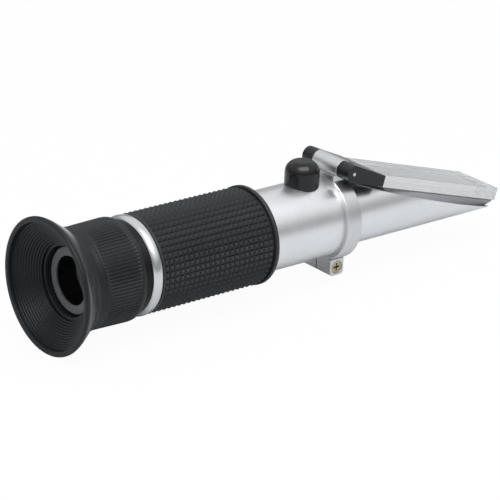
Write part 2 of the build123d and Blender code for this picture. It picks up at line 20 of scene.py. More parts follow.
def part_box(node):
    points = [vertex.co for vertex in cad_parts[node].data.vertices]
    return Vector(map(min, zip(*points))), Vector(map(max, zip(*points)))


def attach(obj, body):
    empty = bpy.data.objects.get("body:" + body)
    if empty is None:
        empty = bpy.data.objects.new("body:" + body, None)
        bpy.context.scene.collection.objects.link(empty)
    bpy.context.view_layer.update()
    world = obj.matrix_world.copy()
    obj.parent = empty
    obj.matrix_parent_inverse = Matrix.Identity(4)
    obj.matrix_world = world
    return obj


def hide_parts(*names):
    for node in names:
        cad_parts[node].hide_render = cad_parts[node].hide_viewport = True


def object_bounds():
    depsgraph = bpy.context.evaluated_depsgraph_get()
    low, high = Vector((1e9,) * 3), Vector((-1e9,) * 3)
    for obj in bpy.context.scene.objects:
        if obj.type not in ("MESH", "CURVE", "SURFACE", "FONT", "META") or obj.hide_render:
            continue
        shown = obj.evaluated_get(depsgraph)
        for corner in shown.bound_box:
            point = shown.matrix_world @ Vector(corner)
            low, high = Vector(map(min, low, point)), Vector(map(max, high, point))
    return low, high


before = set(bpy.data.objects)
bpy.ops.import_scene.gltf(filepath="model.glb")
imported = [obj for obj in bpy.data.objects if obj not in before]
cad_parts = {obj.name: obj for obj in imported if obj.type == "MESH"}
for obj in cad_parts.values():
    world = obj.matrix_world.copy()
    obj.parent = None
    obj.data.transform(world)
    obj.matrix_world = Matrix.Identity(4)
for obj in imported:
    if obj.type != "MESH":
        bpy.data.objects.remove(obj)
CAD_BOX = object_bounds()

MM = 0.001
# Rounding, in millimetres, of a turned corner that is meant to look sharp.
CRISP = 0.05
# Angles in degrees above which an edge stays crisp on a turned piece and on a node's copy.
TURNED_DEGREES = 35.0
COPY_DEGREES = 28.0
# Edges of a node's copy above this angle get its bevel.
BEVEL_DEGREES = 40.0
# Points of a node nearer than this are one point, and faces that turn less are one flat face.
WELD_MM = 0.001
FLAT_DEGREES = 0.2
# Points this near to a turned node's end, in millimetres, belong to its end.
END_MM = 0.01
# A corner's rounding takes at most this share of its shorter edge.
CORNER_SHARE = 0.45
WHITE = (1.0, 1.0, 1.0)
LOG = logging.getLogger("refractometer")

Shift = Callable[[np.ndarray, np.ndarray, np.ndarray], np.ndarray]
Corner = tuple[float, float, float]


class Brush(Enum):
    """Way that the fine lines of a metal finish run."""

    ROUND_THE_AXIS = "round the axis"
    BLASTED = "blasted"


class Wire:
    """A shader value that takes part in arithmetic; every operator adds its Math node."""

    def __init__(self, bench: "Bench", socket: bpy.types.NodeSocket) -> None:
        """Keeps the socket and the bench that adds nodes for it."""
        self.bench = bench
        self.socket = socket

    def _math(self, operation: str, first: Any, second: Any) -> "Wire":
        """Adds one Math node.

        Args:
            operation: The node's operation.
            first: Left value, a wire or a number.
            second: Right value, a wire or a number.

        Returns:
            The node's result.
        """
        return self.bench.node("ShaderNodeMath", {"operation": operation}, {0: first, 1: second})

    def __add__(self, other: Any) -> "Wire":
        """Sum."""
        return self._math("ADD", self, other)

    def __radd__(self, other: Any) -> "Wire":
        """Sum with a number on the left."""
        return self._math("ADD", other, self)

    def __sub__(self, other: Any) -> "Wire":
        """Difference."""
        return self._math("SUBTRACT", self, other)

    def __mul__(self, other: Any) -> "Wire":
        """Product."""
        return self._math("MULTIPLY", self, other)

    def sine(self) -> "Wire":
        """Sine of the value in radians."""
        return self._math("SINE", self, 0.0)

    def limited(self) -> "Wire":
        """The value held between 0 and 1."""
        return self._math("MINIMUM", self._math("MAXIMUM", self, 0.0), 1.0)


class Bench:
    """Node tree of a material or a world, with the single method that adds nodes to it."""

    def __init__(self, owner: Union[bpy.types.Material, bpy.types.World]) -> None:
        """Empties the owner's node tree and works on it."""
        owner.use_nodes = True
        self.owner = owner
        self.tree = owner.node_tree
        self.tree.nodes.clear()

    @classmethod
    def for_material(cls, name: str) -> "Bench":
        """Bench of a new material."""
        return cls(bpy.data.materials.new(name))

    def node(self, kind: str, settings: dict[str, Any], values: dict[Any, Any], out: Any = 0) -> Wire:
        """Adds a node, sets it up and feeds it.

        Args:
            kind: The node's type name.
            settings: Attributes that are set first; "stops" fills a colour ramp.
            values: Socket name or index to a value or a wire.
            out: Name or index of the output that is returned.

        Returns:
            The chosen output, or an empty wire from a node that has none.
        """
        node = self.tree.nodes.new(kind)
        for key, value in settings.items():
            if key == "stops":
                self._fill_ramp(node.color_ramp, value)
            else:
                setattr(node, key, value)
        for key, value in values.items():
            if isinstance(value, Wire):
                self.tree.links.new(value.socket, node.inputs[key])
            else:
                node.inputs[key].default_value = value
        return Wire(self, node.outputs[out] if node.outputs else None)

    @staticmethod
    def _fill_ramp(ramp: bpy.types.ColorRamp, stops: Sequence[tuple[float, tuple]]) -> None:
        """Puts position and colour pairs into a ramp."""
        while len(ramp.elements) < len(stops):
            ramp.elements.new(1.0)
        for element, (position, colour) in zip(ramp.elements, stops):
            element.position = position
            element.color = colour

    def place(self, stretch: tuple[float, float, float] = (1.0, 1.0, 1.0)) -> Wire:
        """Object coordinates in millimetres, stretched along each axis."""
        where = self.node("ShaderNodeTexCoord", {}, {}, "Object")
        scale = tuple(value / MM for value in stretch)
        return self.node("ShaderNodeVectorMath", {"operation": "MULTIPLY"}, {0: where, 1: scale})

    def noise(self, where: Wire, scale: float, detail: float = 3.0) -> Wire:
        """Smooth noise between 0 and 1 at a number of cells per millimetre."""
        return self.node("ShaderNodeTexNoise", {}, {"Vector": where, "Scale": scale, "Detail": detail})

    def blend_colours(self, factor: Any, first: Any, second: Any) -> Wire:
        """Colour between two, by a factor; each is three numbers or a wire."""
        pair = [value if isinstance(value, Wire) else (*value, 1.0) for value in (first, second)]
        return self.node("ShaderNodeMix", {"data_type": "RGBA"}, {0: factor, 6: pair[0], 7: pair[1]}, 2)

    def seen(self) -> Wire:
        """1 for rays from the camera, straight or through something clear, and 0 for the others."""
        straight = self.node("ShaderNodeLightPath", {}, {}, "Is Camera Ray")
        through = self.node("ShaderNodeLightPath", {}, {}, "Is Transmission Ray")
        return (straight + through).limited()

    def mottled(self, main: Wire, other: Wire, share: float, tint: Any, shade: Any) -> Wire:
        """Colour from one noise, by its share, and another: the first colour where they are low."""
        return self.blend_colours((main * share + other * (1 - share)).limited(), tint, shade)

    def bump(self, height: Wire, depth_mm: float, strength: float = 1.0) -> Wire:
        """Surface normal from a height between 0 and 1."""
        values = {"Height": height, "Strength": strength, "Distance": depth_mm * MM}
        return self.node("ShaderNodeBump", {}, values)

    def finish(self, values: dict[str, Any]) -> bpy.types.Material:
        """Ends the tree in one Principled shader.

        Args:
            values: The shader's inputs by name.

        Returns:
            The material.
        """
        shader = self.node("ShaderNodeBsdfPrincipled", {}, values)
        self.node("ShaderNodeOutputMaterial", {}, {"Surface": shader})
        return self.owner


@dataclass(frozen=True)
class TurnedMetal:
    """Bare or plated metal with fine machining lines."""

    name: str
    tint: tuple[float, float, float]
    dark: tuple[float, float, float]
    roughness: float = 0.3
    spread: float = 0.12
    relief_mm: float = 0.004
    brush: Brush = Brush.ROUND_THE_AXIS
    lines_per_mm: float = 5.0
    length_per_mm: float = 0.12
    cloud_per_mm: float = 0.12
    smear_stretch: Corner = (0.5, 0.2, 0.2)
    smear_per_mm: float = 0.6
    smear_share: float = 0.6
    line_share: float = 0.65

    def build(self) -> bpy.types.Material:
        """Lines are noise stretched along the brushing; they drive colour, gloss and relief."""
        bench = Bench.for_material(self.name)
        fine = self.lines_per_mm
        slow = self.length_per_mm if self.brush is Brush.ROUND_THE_AXIS else fine
        lines = bench.noise(bench.place((fine, slow, slow)), 1.0, 4.0)
        cloud = bench.noise(bench.place(), self.cloud_per_mm)
        smear = bench.noise(bench.place(self.smear_stretch), self.smear_per_mm, 4.0)
        colour = bench.mottled(lines, cloud, self.line_share, self.dark, self.tint)
        rough = self.roughness + (lines - 0.5) * self.spread
        rough = rough + (smear - 0.5) * (self.smear_share * self.spread)
        normal = bench.bump(lines, self.relief_mm)
        return bench.finish({"Base Color": colour, "Roughness": rough, "Metallic": 1.0, "Normal": normal})


@dataclass(frozen=True)
class MouldedRubber:
    """Black rubber with a faint bloom and a fine skin."""

    name: str
    tint: tuple[float, float, float]
    bloom: tuple[float, float, float]
    roughness: float
    sheen: float = 0.3
    spread: float = 0.16
    skin_mm: float = 0.01
    grains_per_mm: float = 5.0
    cloud_per_mm: float = 0.25
    cloud_share: float = 0.8
    skin_share: float = 0.5
    strength: float = 0.6

    def build(self) -> bpy.types.Material:
        """Fine noise gives the skin, slow noise the bloom."""
        bench = Bench.for_material(self.name)
        skin = bench.noise(bench.place(), self.grains_per_mm, 2.0)
        cloud = bench.noise(bench.place(), self.cloud_per_mm, 4.0)
        colour = bench.mottled(cloud, skin, self.cloud_share, self.tint, self.bloom)
        rough = self.roughness + (cloud - 0.5) * self.spread
        rough = rough + (skin - 0.5) * (self.skin_share * self.spread)
        normal = bench.bump(skin, self.skin_mm, self.strength)
        values = {"Base Color": colour, "Roughness": rough, "Normal": normal}
        return bench.finish({**values, "Specular IOR Level": self.sheen})


@dataclass(frozen=True)
class MouldedPlastic:
    """Satin moulded plastic with a spark-eroded grain."""

    name: str
    tint: tuple[float, float, float]
    worn: tuple[float, float, float]
    roughness: float
    sheen: float = 0.3
    grain_mm: float = 0.006
    grains_per_mm: float = 3.5
    hatch_mm: float = 0.0
    cloud_per_mm: float = 0.4
    cloud_share: float = 0.7
    grain_spread: float = 0.16
    cloud_spread: float = 0.08
    hatch_heights: tuple[float, float] = (0.15, 0.5)
    strength: float = 0.7

    def build(self) -> bpy.types.Material:
        """Grain from noise, a slow cloud of paler wear, and fine rings across the ribs where asked."""
        bench = Bench.for_material(self.name)
        grain = bench.noise(bench.place(), self.grains_per_mm)
        cloud = bench.noise(bench.place(), self.cloud_per_mm)
        colour = bench.mottled(cloud, grain, self.cloud_share, self.tint, self.worn)
        rough = self.roughness + (grain - 0.5) * self.grain_spread + (cloud - 0.5) * self.cloud_spread
        height = grain
        if self.hatch_mm:
            along = bench.node("ShaderNodeSeparateXYZ", {}, {0: bench.place()}, "X")
            rings = (along * (2 * math.pi / self.hatch_mm)).sine()
            height = grain * self.hatch_heights[0] + rings * self.hatch_heights[1]
        normal = bench.bump(height, self.grain_mm, self.strength)
        values = {"Base Color": colour, "Roughness": rough, "Normal": normal}
        return bench.finish({**values, "Specular IOR Level": self.sheen})


@dataclass(frozen=True)
class ClearSolid:
    """Glass or acrylic; what isn't transmitted scatters as a milky haze."""

    name: str
    tint: tuple[float, float, float]
    haze: tuple[float, float, float]
    transmission: float
    ior: float
    roughness: float
    spread: float = 0.04
    relief_mm: float = 0.002
    flow_stretch: Corner = (0.08, 0.9, 1.2)
    cloud_per_mm: float = 0.3
    flow_share: float = 0.6
    strength: float = 0.5

    def build(self) -> bpy.types.Material:
        """Faint flow lines along the part drive haze, gloss and relief."""
        bench = Bench.for_material(self.name)
        flow = bench.noise(bench.place(self.flow_stretch), 1.0)
        cloud = bench.noise(bench.place(), self.cloud_per_mm, 2.0)
        colour = bench.mottled(flow, cloud, self.flow_share, self.tint, self.haze)
        rough = (self.roughness + (flow - 0.5) * self.spread).limited()
        normal = bench.bump(flow, self.relief_mm, self.strength)
        values = {"Base Color": colour, "Roughness": rough, "Normal": normal}
        values.update({"IOR": self.ior, "Transmission Weight": self.transmission})
        return bench.finish(values)


class Finish(Enum):
    """Every finish on the instrument, with the record's slot that it belongs to."""

    BODY = (
        "tube_aluminium",
        TurnedMetal("brushed_body", (0.83, 0.83, 0.845), (0.66, 0.66, 0.67), 0.34, 0.14),
    )
    COLLAR = (
        "tube_aluminium",
        TurnedMetal(
            "blasted_collar", (0.7, 0.7, 0.71), (0.57, 0.57, 0.58), 0.38, 0.1, 0.006, Brush.BLASTED, 3.0
        ),
    )
    BRIGHT = (
        "ring_aluminium",
        TurnedMetal("bright_ring", (0.7, 0.7, 0.705), (0.58, 0.58, 0.59), 0.22, 0.08, 0.002),
    )
    ANODISED = (
        "black_anodised",
        TurnedMetal("black_anodised", (0.03, 0.03, 0.033), (0.018, 0.018, 0.02), 0.42, 0.12, 0.004),
    )
    STEEL = (
        "steel",
        TurnedMetal("plain_steel", (0.68, 0.68, 0.67), (0.5, 0.5, 0.5), 0.28, 0.12, 0.003),
    )
    BRASS = (
        "screw_brass",
        TurnedMetal("yellow_screw", (0.56, 0.5, 0.35), (0.32, 0.28, 0.18), 0.34, 0.14, 0.004),
    )
    # Inside of the eyecup: its tint, darker than the outside of the same rubber, is painted shade.
    CUP_PAINTED_SHADE = (
        "eyecup_rubber",
        MouldedRubber("cup_inside_painted_shade", (0.005, 0.0062, 0.0072), (0.0095, 0.011, 0.0122), 0.44, 0.25),
    )
    # Outer flare of the eyecup: the lower roughness is its real glossier finish, and the paler tint is painted
    # sheen.
    CUP_GLOSS_AND_SHEEN = (
        "eyecup_rubber",
        MouldedRubber(
            "cup_outside_painted_sheen", (0.021, 0.0218, 0.023), (0.028, 0.029, 0.0305), 0.16, 0.5, 0.05, 0.003
        ),
    )
    GRIP = (
        "grip_rubber",
        MouldedRubber("grip_rubber", (0.014, 0.0152, 0.0168), (0.022, 0.0236, 0.0258), 0.44, 0.34),
    )
    CAP = (
        "cap_rubber",
        MouldedRubber(
            "cap_rubber", (0.004, 0.004, 0.0044), (0.008, 0.008, 0.0086), 0.24, 0.36, 0.08, 0.012, 1.6
        ),
    )
    PLASTIC = (
        "black_plastic",
        MouldedPlastic("black_plastic", (0.009, 0.0098, 0.011), (0.015, 0.016, 0.018), 0.34, 0.26),
    )
    RIBBED = (
        "black_plastic",
        MouldedPlastic(
            "black_ribbed", (0.008, 0.009, 0.0102), (0.014, 0.0155, 0.0175), 0.36, 0.24, 0.03, 3.5, 0.74
        ),
    )
    BEZEL = (
        "bezel_grey",
        MouldedPlastic("grey_bezel", (0.088, 0.093, 0.099), (0.115, 0.12, 0.126), 0.4),
    )
    RESIN = (
        "bed_resin",
        MouldedPlastic("bed_resin", (0.2, 0.2, 0.215), (0.27, 0.27, 0.285), 0.42),
    )
    GLASS = (
        "optical_glass",
        ClearSolid("optical_glass", (0.54, 0.555, 0.57), (0.47, 0.485, 0.5), 0.7, 1.52, 0.05, 0.03, 0.0002),
    )
    ACRYLIC = (
        "clear_acrylic",
        ClearSolid("clear_acrylic", (0.75, 0.755, 0.76), (0.63, 0.635, 0.64), 0.8, 1.49, 0.05, 0.06, 0.0002),
    )

    @property
    def slot(self) -> str:
        """The record's material slot."""
        return self.value[0]

    @cache
    def material(self) -> bpy.types.Material:
        """The Blender material, made once."""
        return self.value[1].build()


def rounded(corners: Sequence[Sequence[float]], steps: int = 5) -> np.ndarray:
    """Rounds the corners of a closed outline.

    Each corner becomes a quadratic curve whose ends lie on its two edges: with t from 0 to 1 the
    point is (1-t)^2 times the first end, plus 2t(1-t) times the corner, plus t^2 times the other.

    Args:
        corners: Station, radius and rounding of each corner, in millimetres.
        steps: Points on each rounded corner.

    Returns:
        Array of station and radius pairs.
    """
    data = np.array(corners, float)
    points, sizes = data[:, :2], data[:, 2]
    before, after = np.roll(points, 1, 0) - points, np.roll(points, -1, 0) - points
    long_before = np.linalg.norm(before, axis=1)
    long_after = np.linalg.norm(after, axis=1)
    reach = np.minimum(sizes, CORNER_SHARE * np.minimum(long_before, long_after))
    start = points + before / long_before[:, None] * reach[:, None]
    end = points + after / long_after[:, None] * reach[:, None]
    share = np.linspace(0, 1, steps)[None, :, None]
    curve = (1 - share) ** 2 * start[:, None] + 2 * share * (1 - share) * points[:, None]
    curve = curve + share**2 * end[:, None]
    return curve.reshape(-1, 2)


def filled(outline: np.ndarray, step_mm: float) -> np.ndarray:
    """Adds points along the long edges of a closed outline, none further apart than a step."""
    following = np.roll(outline, -1, 0)
    pieces = []
    for here, there in zip(outline, following):
        count = max(1, int(np.ceil(np.linalg.norm(there - here) / step_mm)))
        share = np.arange(count)[:, None] / count
        pieces.append(here + (there - here) * share)
    return np.concatenate(pieces)


def moved(corners: Sequence[Corner], station: float, radius: float) -> list[Corner]:
    """Corners that are written from a reference point, taken to that point."""
    return [(station + along, radius + rise, rounding) for along, rise, rounding in corners]


def grid_mesh(name: str, points: np.ndarray) -> bpy.types.Object:
    """Makes an object from a grid of points that closes on itself both ways.

    Args:
        name: The piece's name.
        points: Rows by columns by 3, in metres.

    Returns:
        The linked object, faces outwards.
    """
    rows, columns = points.shape[:2]
    row, column = np.meshgrid(np.arange(rows), np.arange(columns), indexing="ij")
    next_row, next_column = (row + 1) % rows, (column + 1) % columns
    corners = (row * columns + column, next_row * columns + column)
    corners += (next_row * columns + next_column, row * columns + next_column)
    faces = np.stack(corners, -1).reshape(-1, 4)
    flat = points.reshape(-1, 3)
    a, b, c = flat[faces[:, 0]], flat[faces[:, 1]], flat[faces[:, 2]]
    if np.einsum("ij,ij->i", a, np.cross(b, c)).sum() < 0:
        faces = faces[:, ::-1]
    mesh = bpy.data.meshes.new(name)
    mesh.from_pydata(flat.tolist(), [], faces.tolist())
    mesh.shade_smooth()
    mesh.set_sharp_from_angle(angle=math.radians(TURNED_DEGREES))
    piece = bpy.data.objects.new(name, mesh)
    bpy.context.scene.collection.objects.link(piece)
    return piece


def turned(name: str, outline: np.ndarray, around: int, shift: Optional[Shift] = None) -> bpy.types.Object:
    """Turns a closed outline round the optical axis.

    The point at angle a of an outline point (x, r) is (x, r cos a, r sin a), where r may first be
    shifted by a function of station, radius and angle.

    Args:
        name: The piece's name.
        outline: Station and radius pairs in millimetres.
        around: Steps round the axis.
        shift: Change of radius in millimetres.

    Returns:
        The piece.
    """
    angle = np.arange(around) * 2 * np.pi / around
    station = np.repeat(outline[:, 0][:, None], around, 1)
    radius = np.repeat(outline[:, 1][:, None], around, 1)
    turn = np.repeat(angle[None, :], len(outline), 0)
    if shift is not None:
        radius = radius + shift(station, radius, turn)
    points = np.stack((station, radius * np.cos(turn), radius * np.sin(turn)), -1) * MM
    return grid_mesh(name, points)


def facet(mesh: bpy.types.Mesh, sharp: float) -> None:
    """Splits four-sided faces along their longer diagonal and keeps edges above an angle crisp."""
    work = bmesh.new()
    work.from_mesh(mesh)
    bmesh.ops.triangulate(work, faces=work.faces, quad_method="LONG_EDGE")
    work.to_mesh(mesh)
    work.free()
    mesh.shade_smooth()
    mesh.set_sharp_from_angle(angle=math.radians(sharp))


def dressed(piece: bpy.types.Object, body: str, finish: Finish, *nodes: str) -> bpy.types.Object:
    """Gives a piece its finish and ties it to its body.

    Args:
        piece: The new piece.
        body: Name of the body that it rides on.
        finish: Its finish.
        nodes: Names of the nodes that it stands for.

    Returns:
        The same piece.
    """
    piece.data.materials.clear()
    piece.data.materials.append(finish.material())
    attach(piece, body)
    if nodes:
        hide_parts(*nodes)
    LOG.info("%s rides on %s", piece.name, body)
    return piece


def fine_copy(node: str, body: str, finish: Finish, bevel_mm: float = 0.0) -> bpy.types.Object:
    """Copies a node's mesh, joins its loose triangles and shades its round faces smoothly.

    Args:
        node: The node.
        body: Body that the copy rides on.
        finish: Its finish.
        bevel_mm: Width of the small rounding on its edges, or 0 for none.

    Returns:
        The copy, which stands for the node.
    """
    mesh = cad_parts[node].data.copy()
    mesh.materials.clear()
    work = bmesh.new()
    work.from_mesh(mesh)
    bmesh.ops.remove_doubles(work, verts=work.verts, dist=WELD_MM * MM)
    flat = math.radians(FLAT_DEGREES)
    bmesh.ops.dissolve_limit(work, angle_limit=flat, verts=work.verts, edges=work.edges)
    work.to_mesh(mesh)
    work.free()
    if "custom_normal" in mesh.attributes:
        mesh.attributes.remove(mesh.attributes["custom_normal"])
    mesh.shade_smooth()
    mesh.set_sharp_from_angle(angle=math.radians(COPY_DEGREES))
    piece = bpy.data.objects.new(f"{node}_fine", mesh)
    bpy.context.scene.collection.objects.link(piece)
    if bevel_mm:
        bevel = piece.modifiers.new("edges", "BEVEL")
        bevel.width = bevel_mm * MM
        bevel.segments = 2
        bevel.limit_method = "ANGLE"
        bevel.angle_limit = math.radians(BEVEL_DEGREES)
        bevel.harden_normals = False
    return dressed(piece, body, finish, node)


def span(node: str) -> tuple[float, float, float]:
    """Start, end and outer radius of a turned node, in millimetres."""
    low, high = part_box(node)
    return low.x / MM, high.x / MM, high.y / MM


def neck_radius() -> float:
    """Radius of the focus ring's neck under the eyecup: the widest point at the ring's first station."""
    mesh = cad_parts["focus_ring"].data
    points = np.zeros(len(mesh.vertices) * 3)
    mesh.vertices.foreach_get("co", points)
    points = points.reshape(-1, 3)
    first = points[points[:, 0] < points[:, 0].min() + END_MM * MM]
    return float(np.hypot(first[:, 1], first[:, 2]).max() / MM)


@dataclass
class Eyepiece:
    """Eyecup, focus ring and what shows of the eyepiece inside.

    A corner is a distance along the axis, a rise in radius and a rounding.
    """

    around: int = 160
    spacing: float = 0.8
    lip: tuple[Corner, ...] = ((0.0, -0.1, 1.2), (0.9, 0.0, 0.8), (2.4, -0.75, 1.6))
    hollow: Corner = (6.2, 2.5, 3.2)
    waist_radius: float = 17.0
    waist_round: float = 1.0
    cuff: float = 2.8
    cuff_edge: Corner = (0.0, 0.2, 0.35)
    seat: float = 4.0
    mouth_radius: float = 12.8
    mouth_round: float = 0.1
    mouth_land: float = 0.8
    steps: int = 11
    step_depth: float = 0.06
    step_lip: float = 0.16
    step_rounds: tuple[float, float] = (0.06, 0.1)
    lip_inner: float = 20.9
    lip_depth: float = 1.5
    lip_flare: float = 0.1
    lip_rounds: tuple[float, float] = (0.2, 0.5)
    # Margins of the outer flare that gets the glossier rubber with the paler tint of painted sheen.
    gloss_and_sheen_margins: tuple[float, float] = (1.6, 0.2)
    ribs: int = 92
    rib_depth: float = 0.3
    rib_runout: float = 0.5
    samples_per_rib: int = 8
    valley: tuple[float, float] = (0.5, 1.2)
    outer_skin: float = 1.0
    end_band: float = 1.5
    collar_band: float = 0.8
    ring_spacing: float = 0.9
    ring_gap: float = 0.02
    ring_shoulder: Corner = (0.0, -0.35, 0.3)
    ring_band: Corner = (0.0, 0.0, 0.4)
    ring_edge: Corner = (0.0, -0.1, 1.1)
    bore_edge: float = 0.2
    bore: tuple[tuple[float, float], ...] = (
        (22.8, 15.9),
        (22.8, 13.45),
        (16.65, 13.45),
        (16.65, 11.05),
        (16.0, 11.05),
        (16.0, 9.6),
        (13.0, 9.6),
        (13.0, 11.7),
    )

    def build(self) -> None:
        """Builds and dresses the whole eye end."""
        self.eyecup()
        self.focus_ring()
        fine_copy("eyepiece_bezel", "eyepiece", Finish.BEZEL)
        fine_copy("lens_cell", "eyepiece", Finish.ANODISED)
        fine_copy("eye_lens", "eyepiece", Finish.GLASS)
        fine_copy("focus_sleeve", "tube", Finish.ANODISED)

    def eyecup(self) -> bpy.types.Object:
        """Flared cup. Inside, the radius grows towards the rim in equal steps, each a tread and a riser."""
        start, end, rim = span("eyecup")
        neck = neck_radius()
        seat_start, waist = end - self.seat, end - self.cuff
        outer = moved(self.lip, start, rim)
        outer += moved([self.hollow], start, self.waist_radius)
        outer += [(waist, self.waist_radius, self.waist_round)]
        outer += moved([self.cuff_edge], end, self.waist_radius)
        outer += [(end, neck, CRISP), (seat_start, neck, CRISP)]
        outer += [(seat_start, self.mouth_radius, self.mouth_round)]
        treads = np.linspace(self.mouth_radius, self.lip_inner, self.steps + 1)
        floors = np.linspace(seat_start - self.mouth_land, start + self.lip_depth, self.steps + 1)
        near_round, far_round = np.full((2, self.steps), np.array(self.step_rounds)[:, None])
        near = np.stack((floors[:-1], treads[:-1], near_round), -1)
        far = np.stack((floors[:-1] - self.step_depth, treads[1:] - self.step_lip, far_round), -1)
        stairs = np.stack((near, far), 1).reshape(-1, 3)
        face = [(floors[-1], treads[-1], self.lip_rounds[0])]
        face += [(start, self.lip_inner + self.lip_flare, self.lip_rounds[1])]
        outline = filled(rounded(np.concatenate((outer, stairs, face))), self.spacing)
        cup = turned("eyecup_shell", outline, self.around)
        dressed(cup, "focus", Finish.CUP_PAINTED_SHADE, "eyecup")
        # The outer flare gets the glossier rubber with a paler tint that is painted sheen; the darker tint
        # left inside is painted shade.
        self.gloss(cup.data, start + self.gloss_and_sheen_margins[0], waist - self.gloss_and_sheen_margins[1])
        return cup

    @staticmethod
    def gloss(mesh: bpy.types.Mesh, first: float, last: float) -> None:
        """Gives the faces that look away from the axis, between two stations, the flare's glossier skin, whose
        paler tint is painted sheen.
        """
        mesh.materials.append(Finish.CUP_GLOSS_AND_SHEEN.material())
        facing, middle = np.zeros((2, len(mesh.polygons) * 3))
        mesh.polygons.foreach_get("normal", facing)
        mesh.polygons.foreach_get("center", middle)
        facing, middle = facing.reshape(-1, 3), middle.reshape(-1, 3) / MM
        outward = (facing[:, 1:] * middle[:, 1:]).sum(1) > 0
        flare = outward & (middle[:, 0] > first) & (middle[:, 0] < last)
        mesh.polygons.foreach_set("material_index", flare.astype(np.int32))

    def focus_ring(self) -> bpy.types.Object:
        """Ring with ribs: the radius drops by the rib's depth where the cosine of the rib angle is low."""
        start, end, radius = span("focus_ring")
        _, cup_end, _ = span("eyecup")
        rib_start, rib_end = cup_end + self.collar_band, end - self.end_band
        shoulder = cup_end + self.ring_gap
        neck = neck_radius()
        corners = [(start, neck, self.bore_edge), (shoulder, neck, self.ring_gap)]
        corners += moved([self.ring_shoulder], shoulder, radius)
        corners += moved([self.ring_band], rib_end, radius)
        corners += moved([self.ring_edge], end, radius)
        corners += [(end, self.bore[0][1], self.bore_edge)]
        corners += [(station, inner, CRISP) for station, inner in self.bore]
        corners += [(start, self.bore[-1][1], self.bore_edge)]
        outline = filled(rounded(corners), self.ring_spacing)

        def shift(station: np.ndarray, distance: np.ndarray, angle: np.ndarray) -> np.ndarray:
            """Cuts the valleys between the ribs on the outer face only."""
            wave = np.clip(self.valley[0] - self.valley[1] * np.cos(angle * self.ribs), 0, 1)
            into = np.clip((station - rib_start) / self.rib_runout, 0, 1)
            into = into * np.clip((rib_end - station) / self.rib_runout, 0, 1)
            return -self.rib_depth * wave * into * (distance > radius - self.outer_skin)

        ring = turned("focus_ring_ribbed", outline, self.ribs * self.samples_per_rib, shift)
        return dressed(ring, "focus", Finish.RIBBED, "focus_ring")


@dataclass
class Grip:
    """Rubber grip sleeve with rows of small pyramids."""

    rows: int = 22
    round_count: int = 48
    samples: int = 6
    base_radius: float = 15.85
    height: float = 1.1
    dulled: float = 0.92
    ridge_degrees: float = 20.0
    plain_start: float = 0.7
    start_rise: float = 0.9
    start_gap: float = 0.15
    start_rounds: tuple[float, float] = (0.3, 0.2)
    rim_width: float = 1.5
    rim_rounds: tuple[float, float] = (0.35, 0.45)
    groove_width: float = 0.6
    groove_drop: float = 0.15
    groove_gap: float = 0.1
    bore: float = 14.0
    skin: float = 0.05
    reach: float = 0.01

    def build(self) -> bpy.types.Object:
        """Height of a pyramid falls from 1 at its middle to 0 at its square edge.

        With u and v from -1 to 1 across the square, the height is 1 minus the larger of |u| and |v|,
        held under a dulled tip. Faces on the diagonals are split along the ridge, their longer way.
        """
        start, end, rim = span("grip_sleeve")
        base = self.base_radius
        first = start + self.plain_start
        rim_start = end - self.rim_width
        last = rim_start - self.groove_width
        pitch = (last - first) / self.rows
        stations = first + np.arange(self.rows * self.samples + 1) * pitch / self.samples
        field = np.stack((stations, np.full_like(stations, base)), -1)
        tail = rounded(
            [
                (last + self.groove_gap, base - self.groove_drop, CRISP),
                (rim_start, base - self.groove_drop, CRISP),
                (rim_start, rim, self.rim_rounds[0]),
                (end, rim, self.rim_rounds[1]),
                (end, self.bore, CRISP),
                (start, self.bore, CRISP),
                (start, base + self.start_rise, self.start_rounds[0]),
                (first - self.start_gap, base + self.start_rise, self.start_rounds[1]),
            ]
        )
        outline = np.concatenate((field, tail))

        def shift(station: np.ndarray, distance: np.ndarray, angle: np.ndarray) -> np.ndarray:
            """Raises the pyramids on the patterned stretch."""
            along = np.abs(((station - first) / pitch) % 1.0 * 2 - 1)
            across = np.abs((angle * self.round_count / (2 * np.pi)) % 1.0 * 2 - 1)
            peak = np.minimum(1 - np.maximum(along, across), self.dulled)
            inside = (station > first - self.reach) & (station < last + self.reach)
            inside = inside & (np.abs(distance - base) < self.skin)
            return np.where(inside, self.height * peak / self.dulled, 0.0)

        sleeve = turned("grip_pyramids", outline, self.round_count * self.samples, shift)
        facet(sleeve.data, self.ridge_degrees)
        return dressed(sleeve, "tube", Finish.GRIP, "grip_sleeve")


@dataclass
class Body:
    """Tubes, end ring, collar and its fasteners."""

    collar_edge: float = 0.3
    ring_around: int = 160
    ring_spacing: float = 0.8
    ring_bore: float = 14.0
    ring_eye_side: tuple[Corner, ...] = ((0.0, -1.1, 0.8), (1.2, 0.0, 1.3))
    ring_grip_side: tuple[Corner, ...] = ((-0.8, 0.0, 0.9), (0.0, -0.5, 0.5))

    def build(self) -> None:
        """Dresses the metalwork."""
        fine_copy("main_tube", "tube", Finish.BODY)
        fine_copy("nose_tube", "tube", Finish.BODY)
        self.end_ring()
        fine_copy("hinge_collar", "tube", Finish.COLLAR, self.collar_edge)
        fine_copy("clamp_screw", "tube", Finish.BRASS)
        fine_copy("clamp_nut", "tube", Finish.STEEL)

    def end_ring(self) -> bpy.types.Object:
        """Bright ring with well rounded shoulders."""
        start, end, rim = span("end_ring")
        corners = [(start, self.ring_bore, CRISP)]
        corners += moved(self.ring_eye_side, start, rim)
        corners += moved(self.ring_grip_side, end, rim)
        corners += [(end, self.ring_bore, CRISP)]
        ring = turned("end_ring_rounded", filled(rounded(corners), self.ring_spacing), self.ring_around)
        return dressed(ring, "tube", Finish.BRIGHT, "end_ring")


